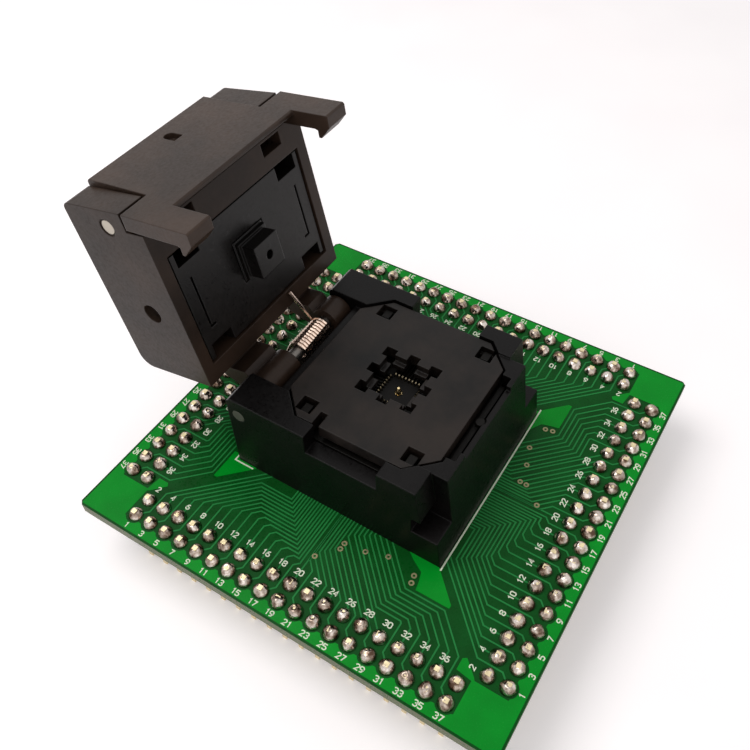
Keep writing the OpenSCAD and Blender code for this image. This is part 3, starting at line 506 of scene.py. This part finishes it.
def make_pour(side):
    """Copper along the board's edge, scalloped round the outer pads, at the board's corner, and between the
    traces at the socket's corner."""
    bm = bmesh.new()
    turn = turned(side)
    edge = BOARD_HALF - BOARD_RIM
    corner = COLUMN_END + PAD_CLEARANCE
    steps = 12 * COLUMNS
    inside, outside = [], []
    for k in range(steps + 1):
        s = -corner + 2 * corner * k / steps
        nearest = max(-COLUMN_END, min(COLUMN_END, PITCH * round(s / PITCH)))
        bow = math.sqrt(max(PAD_CLEARANCE ** 2 - (s - nearest) ** 2, 0.0))
        inside.append(bm.verts.new(turn @ Vector((s, -OUTER_ROW - max(bow, 0.65), POUR_HIGH))))
        outside.append(bm.verts.new(turn @ Vector((s, -edge, POUR_HIGH))))
    for k in range(steps):
        bm.faces.new([inside[k], outside[k], outside[k + 1], inside[k + 1]])
    # corner of the board, with a tongue between the two pin fields
    add_quad(bm, [turn @ Vector((x, y, POUR_HIGH)) for x, y in (
        (-edge, -edge), (-corner, -edge), (-corner, -corner - 0.3), (-corner + 0.3, -corner - 0.1),
        (-22.2, -22.5), (-22.5, -22.05), (-corner + 0.1, -22.05), (-corner - 0.2, -corner),
        (-edge, -corner))])
    # corner of the socket
    add_quad(bm, [turn @ Vector((x, y, POUR_HIGH)) for x, y in (
        (-18.1, -13.3), (-18.1, -17.9), (-17.6, -17.9), (-13.9, -14.2), (-13.8, -9.8), (-14.7, -11.0),
        (-15.7, -12.7), (-17.0, -13.1))])
    return piece_from(bm, "copper_pour_" + side, MASK_COPPER)


# Strokes of the numerals on a grid 4 wide and 6 high, and the step from one numeral to the next
NUMERAL_GRID = Vector((4, 6))
NUMERAL_STEP = 5.4
NUMERALS = {
    "0": [[(1, 0), (3, 0), (4, 1), (4, 5), (3, 6), (1, 6), (0, 5), (0, 1), (1, 0)]],
    "1": [[(1, 4.8), (2.4, 6), (2.4, 0)]],
    "2": [[(0, 4.8), (1, 6), (3, 6), (4, 5), (4, 4), (0, 0), (4, 0)]],
    "3": [[(0, 5.2), (1, 6), (3, 6), (4, 5), (4, 4), (3, 3.1), (1.5, 3.1)],
          [(3, 3.1), (4, 2.2), (4, 1), (3, 0), (1, 0), (0, 0.8)]],
    "4": [[(3, 0), (3, 6), (0, 1.8), (4, 1.8)]],
    "5": [[(4, 6), (0.4, 6), (0, 3.4), (2.6, 3.6), (4, 2.6), (4, 1), (3, 0), (1, 0), (0, 0.8)]],
    "6": [[(3.6, 6), (1.4, 5.4), (0, 3), (0, 1), (1, 0), (3, 0), (4, 1), (4, 2.4), (3, 3.3), (1, 3.3),
           (0, 2.4)]],
    "7": [[(0, 6), (4, 6), (1.4, 0)]],
    "8": [[(1, 3.2), (0, 4), (0, 5.2), (1, 6), (3, 6), (4, 5.2), (4, 4), (3, 3.2), (1, 3.2)],
          [(1, 3.2), (0, 2.3), (0, 0.9), (1, 0), (3, 0), (4, 0.9), (4, 2.3), (3, 3.2)]],
    "9": [[(0.4, 0), (2.6, 0.6), (4, 3), (4, 5), (3, 6), (1, 6), (0, 5), (0, 3.6), (1, 2.7), (3, 2.7),
           (4, 3.6)]],
}


def add_number(bm, number, centre, turn):
    """Prints a number flat on the board, its foot towards the board's edge."""
    unit = NUMERAL_HEIGHT / NUMERAL_GRID.y
    text = str(number)
    wide = (len(text) - 1) * NUMERAL_STEP + NUMERAL_GRID.x
    foot = Vector(centre) - Vector((wide, NUMERAL_GRID.y)) / 2 * unit
    for i, numeral in enumerate(text):
        for stroke in NUMERALS[numeral]:
            path = [foot + Vector((NUMERAL_STEP * i + x, y)) * unit for x, y in stroke]
            add_ribbon(bm, path, NUMERAL_STROKE, BOARD_TOP, SILK_HIGH, turn)


def make_numbers(side):
    """Odd numbers outside the outer row, even ones inside the inner row."""
    bm = bmesh.new()
    turn = turned(side)
    for column in range(COLUMNS):
        add_number(bm, 2 * column + 1, (column_place(column), -ODD_NUMBERS), turn)
        if column < COLUMNS - 1:
            add_number(bm, 2 * column + 2, (column_place(column), -EVEN_NUMBERS), turn)
    return piece_from(bm, "numbers_" + side, SILK)


def make_outline_print():
    """The printed line in front of the socket and the corner mark at its back."""
    bm = bmesh.new()
    still = Matrix.Identity(4)
    front = BASE_LOW.y - 0.2
    side_x = BASE_LOW.x - 0.35
    back_y = BASE_HIGH.y + 0.5
    line = [(BASE_LOW.x - 0.3, front), (BASE_HIGH.x + 1.0, front)]
    mark = [(side_x, back_y - 3.0), (side_x, back_y), (side_x + 1.2, back_y)]
    for path in (line, mark):
        add_ribbon(bm, path, PRINT_WIDTH, BOARD_TOP, SILK_HIGH, still)
    return piece_from(bm, "socket_outline_print", SILK)


# ---- solder joints ----

def add_joint(bm, x, y, turn, dice):
    """One hand-soldered joint: a leaning dome, some with the pin's end standing in a hollow."""
    foot = 1.0 + dice.uniform(-0.05, 0.06)
    height = dice.uniform(0.85, 1.12)
    hollow = dice.random() < 0.45
    lean = Vector((dice.uniform(-0.12, 0.12), dice.uniform(-0.12, 0.12)))
    profile = [(1.0, 0.0), (1.0, 0.10), (0.93, 0.32), (0.80, 0.58), (0.62, 0.80), (0.44, 0.93), (0.26, 1.0),
               (0.12, 0.90 if hollow else 1.03)]
    phase = [dice.uniform(0, 2 * math.pi) for _ in range(3)]
    steps = 20
    rows = []
    for radius, level in profile:
        row = []
        for k in range(steps):
            angle = 2 * math.pi * k / steps
            swell = 1 + 0.05 * math.sin(2 * angle + phase[0]) + 0.04 * math.sin(3 * angle + phase[1])
            r = foot * radius * (swell if level > 0.1 else 1)
            lift = height * level * (1 + 0.06 * math.sin(angle + phase[2]) * (level > 0.3))
            row.append(bm.verts.new(turn @ Vector((
                x + r * math.cos(angle) + lean.x * level, y + r * math.sin(angle) + lean.y * level,
                BOARD_TOP + lift))))
        rows.append(row)
    join_rings(bm, rows, steps)
    bm.faces.new(rows[-1])
    bm.faces.new(rows[0][::-1])


def make_joints(side):
    """The solder joints of one side, in place of the plain CAD ones."""
    bm = bmesh.new()
    turn = turned(side)
    dice = random.Random("joints_" + side)
    for column in range(COLUMNS):
        for row in (INNER_ROW, OUTER_ROW):
            add_joint(bm, column_place(column), -row, turn, dice)
    piece = piece_from(bm, "solder_joints_" + side, SOLDER, smooth=True)
    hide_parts("solder_" + side)
    return piece


# ---- stage ----

FLOOR_HALF = 2500
LAMP_AIM = (0, 0, 10)
# Glow of the floor where it is seen directly, so that it shows near white there
FLOOR_LIFT = 0.24
# The world's strength low down and overhead, where it lights the object
WORLD_LOW = 0.15
WORLD_HIGH = 0.6
# The camera: its place over the middle of the board's top, its view, its roll in degrees and its lens
CAMERA_PLACE = (-58.228, -34.455, 92.226)
CAMERA_VIEW = (0.546943, 0.357059, -0.757207)
CAMERA_ROLL = 1.45
CAMERA_LENS = 39.586


def seen_directly(tree):
    """1 for rays from the camera and those that metal or glass sends on, otherwise 0."""
    path = tree.nodes.new("ShaderNodeLightPath")
    seen = path.outputs["Is Camera Ray"]
    for ray in ("Is Glossy Ray", "Is Transmission Ray"):
        both = tree.nodes.new("ShaderNodeMath")
        both.operation = "MAXIMUM"
        tree.links.new(seen, both.inputs[0])
        tree.links.new(path.outputs[ray], both.inputs[1])
        seen = both.outputs["Value"]
    return seen


def make_floor():
    """Pale floor that keeps the shadow and shows white to the camera."""
    bm = bmesh.new()
    add_quad(bm, [(x * FLOOR_HALF, y * FLOOR_HALF, FLOOR_Z) for x, y in ((-1, -1), (1, -1), (1, 1), (-1, 1))])
    material, tree, shader, place = new_material("floor_paper")
    grain = noise(tree, place, 40, 2)
    tree.links.new(ramp(tree, grain, [(0.3, (0.93, 0.90, 0.91)), (0.7, (0.96, 0.935, 0.94))]),
                   shader.inputs["Base Color"])
    shader.inputs["Roughness"].default_value = 0.9
    shader.inputs["Specular IOR Level"].default_value = 0.0
    shader.inputs["Emission Color"].default_value = (1.0, 0.96, 0.97, 1)
    lift = tree.nodes.new("ShaderNodeMath")
    lift.operation = "MULTIPLY"
    tree.links.new(seen_directly(tree), lift.inputs[0])
    lift.inputs[1].default_value = FLOOR_LIFT
    tree.links.new(lift.outputs["Value"], shader.inputs["Emission Strength"])
    object_from(bm, "floor", material)


def add_lamp(name, energy, size, place, colour):
    """A soft square lamp, placed in millimetres and aimed at the socket."""
    data = bpy.data.lights.new(name, "AREA")
    data.energy = energy
    data.size = size
    data.color = colour
    lamp = bpy.data.objects.new(name, data)
    lamp.location = Vector(place) * MM
    lamp.rotation_euler = (Vector(LAMP_AIM) - Vector(place)).to_track_quat("-Z", "Y").to_euler()
    bpy.context.scene.collection.objects.link(lamp)


def make_light():
    """Soft daylight from above, white background for the camera, gloss and glass."""
    add_lamp("key_soft", 0.62, 0.22, (-60, 160, 330), (1.0, 0.985, 0.97))
    add_lamp("fill_soft", 0.26, 0.40, (-260, -180, 220), (1.0, 0.99, 0.98))
    world = bpy.data.worlds.new("world")
    bpy.context.scene.world = world
    world.use_nodes = True
    tree = world.node_tree
    shader = tree.nodes["Background"]
    way = tree.nodes.new("ShaderNodeTexCoord")
    split = tree.nodes.new("ShaderNodeSeparateXYZ")
    tree.links.new(way.outputs["Generated"], split.inputs["Vector"])
    height = tree.nodes.new("ShaderNodeMapRange")
    height.inputs["From Min"].default_value = -0.1
    height.inputs["From Max"].default_value = 0.9
    height.inputs["To Min"].default_value = WORLD_LOW
    height.inputs["To Max"].default_value = WORLD_HIGH
    tree.links.new(split.outputs["Z"], height.inputs["Value"])
    strength = tree.nodes.new("ShaderNodeMix")
    strength.data_type = "FLOAT"
    tree.links.new(seen_directly(tree), strength.inputs["Factor"])
    tree.links.new(height.outputs["Result"], strength.inputs["A"])
    strength.inputs["B"].default_value = 1.0
    tree.links.new(strength.outputs["Result"], shader.inputs["Strength"])
    shader.inputs["Color"].default_value = (1.0, 0.985, 0.985, 1)


def make_camera():
    """The viewpoint: close above the latch side's left corner, looking down across the board."""
    data = bpy.data.cameras.new("camera")
    data.sensor_width = 36
    data.lens = CAMERA_LENS
    data.clip_start = 0.005
    camera = bpy.data.objects.new("camera", data)
    camera.location = (Vector(CAMERA_PLACE) + Vector((0, 0, BOARD_TOP))) * MM
    way = Vector(CAMERA_VIEW)
    roll = Matrix.Rotation(math.radians(CAMERA_ROLL), 4, way)
    camera.rotation_euler = (roll @ way.to_track_quat("-Z", "Y").to_matrix().to_4x4()).to_euler()
    bpy.context.scene.collection.objects.link(camera)
    bpy.context.scene.camera = camera


make_camera()
dress_nodes()
for spring in FLEXING_SPRINGS:
    make_flexing_spring(spring)
for side in SIDES:
    make_traces(side)
    make_vias(side)
    make_pour(side)
    make_numbers(side)
    make_joints(side)
make_outline_print()
make_floor()
make_light()
bpy.context.scene.view_settings.view_transform = "Standard"
